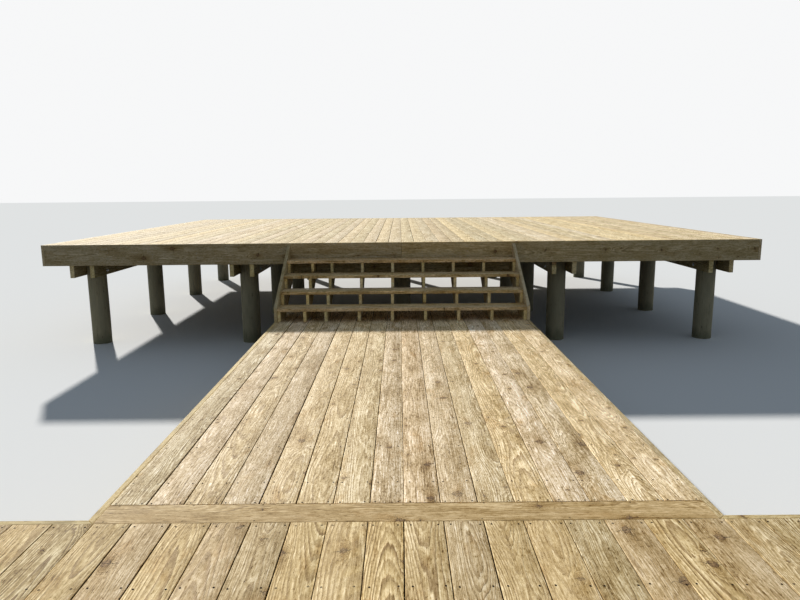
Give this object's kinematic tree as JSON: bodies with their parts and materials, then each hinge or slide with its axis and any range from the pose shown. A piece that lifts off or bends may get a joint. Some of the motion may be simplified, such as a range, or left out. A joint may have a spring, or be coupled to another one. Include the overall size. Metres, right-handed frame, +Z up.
{
  "type": "wooden jetty",
  "caption": "Low plank platform and walkway over water, joined by an open-riser stair to a broad raised deck on round piles with paired beams.",
  "frame": {"origin": "centre of the jetty's length and width, on the level where the piles stand", "axes": "+Z up, +Y along the jetty from the water platform to the raised deck on the shore, +X to the right when walking ashore"},
  "size_m": [9.764, 16.828, 1.46],
  "materials": {
    "deck_boards": "new pressure-treated pine, straw coloured, sawn",
    "rim_planks": "new pressure-treated pine planks on edge",
    "framing": "rough-sawn treated pine",
    "round_piles": "peeled round pine, greenish grey",
    "galvanized_hardware": "dull galvanized",
    "screw_heads": "dark coated screw heads"
  },
  "bodies": {
    "root": {"raised_deck_boards": "deck_boards", "raised_front_fascia": "rim_planks", "raised_back_fascia": "rim_planks", "raised_left_fascia": "rim_planks", "raised_right_fascia": "rim_planks", "raised_deck_joists": "framing", "raised_deck_beams": "framing", "raised_front_piles": "round_piles", "raised_second_piles": "round_piles", "raised_third_piles": "round_piles", "raised_back_piles": "round_piles", "stair_stringers": "framing", "stair_hanger_board": "framing", "stair_tread_1": "deck_boards", "stair_tread_2": "deck_boards", "stair_tread_3": "deck_boards", "stair_tread_4": "deck_boards", "stair_left_side_board": "rim_planks", "stair_right_side_board": "rim_planks", "walkway_boards": "deck_boards", "transition_board": "deck_boards", "transition_header": "framing", "walkway_left_rim": "rim_planks", "walkway_right_rim": "rim_planks", "walkway_end_rim": "rim_planks", "walkway_joists": "framing", "walkway_beams": "framing", "walkway_piles": "round_piles", "platform_boards": "deck_boards", "platform_water_rim": "rim_planks", "platform_left_rim": "rim_planks", "platform_right_rim": "rim_planks", "platform_shore_left_rim": "rim_planks", "platform_shore_right_rim": "rim_planks", "platform_joists": "framing", "platform_beams": "framing", "platform_water_piles": "round_piles", "platform_shore_piles": "round_piles"}
  },
  "joints": []
}
